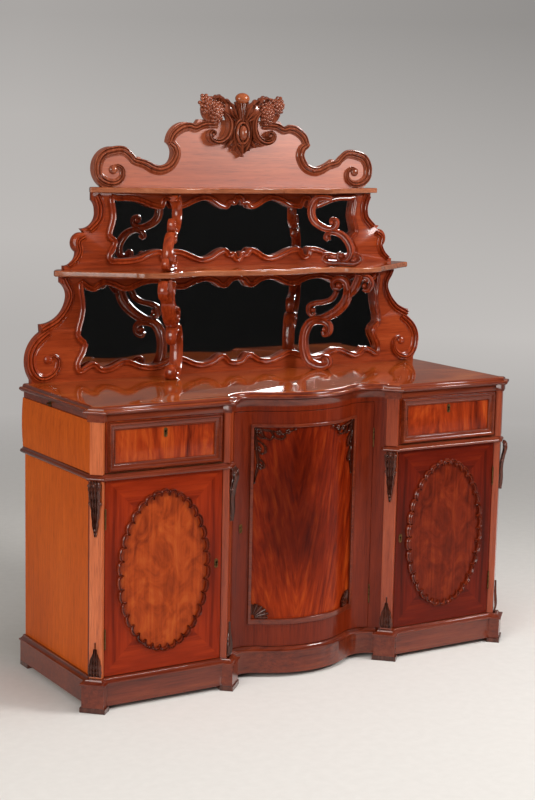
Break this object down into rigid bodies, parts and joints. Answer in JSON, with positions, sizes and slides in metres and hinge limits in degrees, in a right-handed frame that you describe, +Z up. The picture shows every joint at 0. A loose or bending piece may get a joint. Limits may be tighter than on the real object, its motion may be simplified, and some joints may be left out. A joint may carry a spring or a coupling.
{
  "type": "sideboard",
  "caption": "Victorian style mirror-back sideboard with oval-moulded cupboard doors, a bowed centre door, drawers and scrolled shelves under a carved crest.",
  "frame": {"origin": "middle of the footprint, on the floor", "axes": "+Z up, the front faces -Y, +X to the right seen from the front of the object towards its back"},
  "size_m": [1.7096, 0.5938, 1.945],
  "materials": {
    "mahogany": "polished veneer",
    "carving": "waxed dark carving",
    "pine": "bare",
    "mirror": "silvered",
    "brass": "satin",
    "steel": "satin"
  },
  "bodies": {
    "carcase": {"feet": "carving", "right_outer_side": "mahogany", "left_outer_side": "mahogany", "right_inner_side": "pine", "left_inner_side": "pine", "corner_posts": "mahogany", "cupboard_bottoms": "pine", "dust_boards": "pine", "cupboard_shelves": "pine", "back_panels": "pine", "top_rails": "pine", "drawer_guides": "pine", "pedestal_plinths": "mahogany", "centre_plinth": "mahogany", "waist_mouldings": "mahogany", "frieze_mouldings": "mahogany", "table_top": "mahogany", "centre_stiles": "mahogany", "centre_rail": "mahogany", "pilasters": "mahogany", "pilaster_carvings": "carving", "side_friezes": "mahogany", "door_hinges": "brass", "lower_backboard": "mahogany", "upper_backboard": "mahogany", "crest_board": "mahogany", "lower_mirror": "mirror", "upper_mirror": "mirror", "mirror_backings": "pine", "mirror_frames": "carving", "lower_shelf": "mahogany", "upper_shelf": "mahogany", "backboard_scrolls": "carving", "crest_moulding": "carving", "crest_cartouche": "carving", "lower_brackets": "carving", "upper_brackets": "carving", "side_hook": "brass"},
    "left_drawer": {"left_drawer_front": "mahogany", "left_drawer_box": "pine", "left_drawer_lock": "brass"},
    "right_drawer": {"right_drawer_front": "mahogany", "right_drawer_box": "pine", "right_drawer_lock": "brass"},
    "left_drawer_bolt": {"left_drawer_bolt": "steel"},
    "right_drawer_bolt": {"right_drawer_bolt": "steel"},
    "left_door": {"left_door": "mahogany", "left_door_oval": "carving", "left_door_hardware": "brass"},
    "right_door": {"right_door": "mahogany", "right_door_oval": "carving", "right_door_hardware": "brass"},
    "left_door_bolt": {"left_door_bolt": "steel"},
    "right_door_bolt": {"right_door_bolt": "steel"},
    "centre_door": {"centre_door": "mahogany", "centre_door_beads": "carving", "centre_door_carvings": "carving", "centre_door_hardware": "brass"},
    "centre_door_bolt": {"centre_door_bolt": "steel"}
  },
  "joints": [
    {"name": "left_drawer_slide", "type": "slide", "parent": "carcase", "child": "left_drawer", "axis": [0, -1, 0], "range_m": [0, 0.38]},
    {"name": "right_drawer_slide", "type": "slide", "parent": "carcase", "child": "right_drawer", "axis": [0, -1, 0], "range_m": [0, 0.38]},
    {"name": "left_drawer_bolt_slide", "type": "slide", "parent": "left_drawer", "child": "left_drawer_bolt", "axis": [0, 0, 1], "range_m": [0, 0.007]},
    {"name": "right_drawer_bolt_slide", "type": "slide", "parent": "right_drawer", "child": "right_drawer_bolt", "axis": [0, 0, 1], "range_m": [0, 0.007]},
    {"name": "left_door_hinge", "type": "hinge", "parent": "carcase", "child": "left_door", "pos_m": [-0.7705, -0.2478, 0.42], "axis": [0, 0, -1], "range_deg": [0, 105]},
    {"name": "right_door_hinge", "type": "hinge", "parent": "carcase", "child": "right_door", "pos_m": [0.7705, -0.2478, 0.42], "axis": [0, 0, 1], "range_deg": [0, 105]},
    {"name": "left_door_bolt_slide", "type": "slide", "parent": "left_door", "child": "left_door_bolt", "axis": [1, 0, 0], "range_m": [0, 0.008]},
    {"name": "right_door_bolt_slide", "type": "slide", "parent": "right_door", "child": "right_door_bolt", "axis": [-1, 0, 0], "range_m": [0, 0.008]},
    {"name": "centre_door_hinge", "type": "hinge", "parent": "carcase", "child": "centre_door", "pos_m": [0.2792, -0.1942, 0.5], "axis": [0, 0, 1], "range_deg": [0, 90]},
    {"name": "centre_door_bolt_slide", "type": "slide", "parent": "centre_door", "child": "centre_door_bolt", "axis": [-1, 0, 0], "range_m": [0, 0.008]}
  ]
}
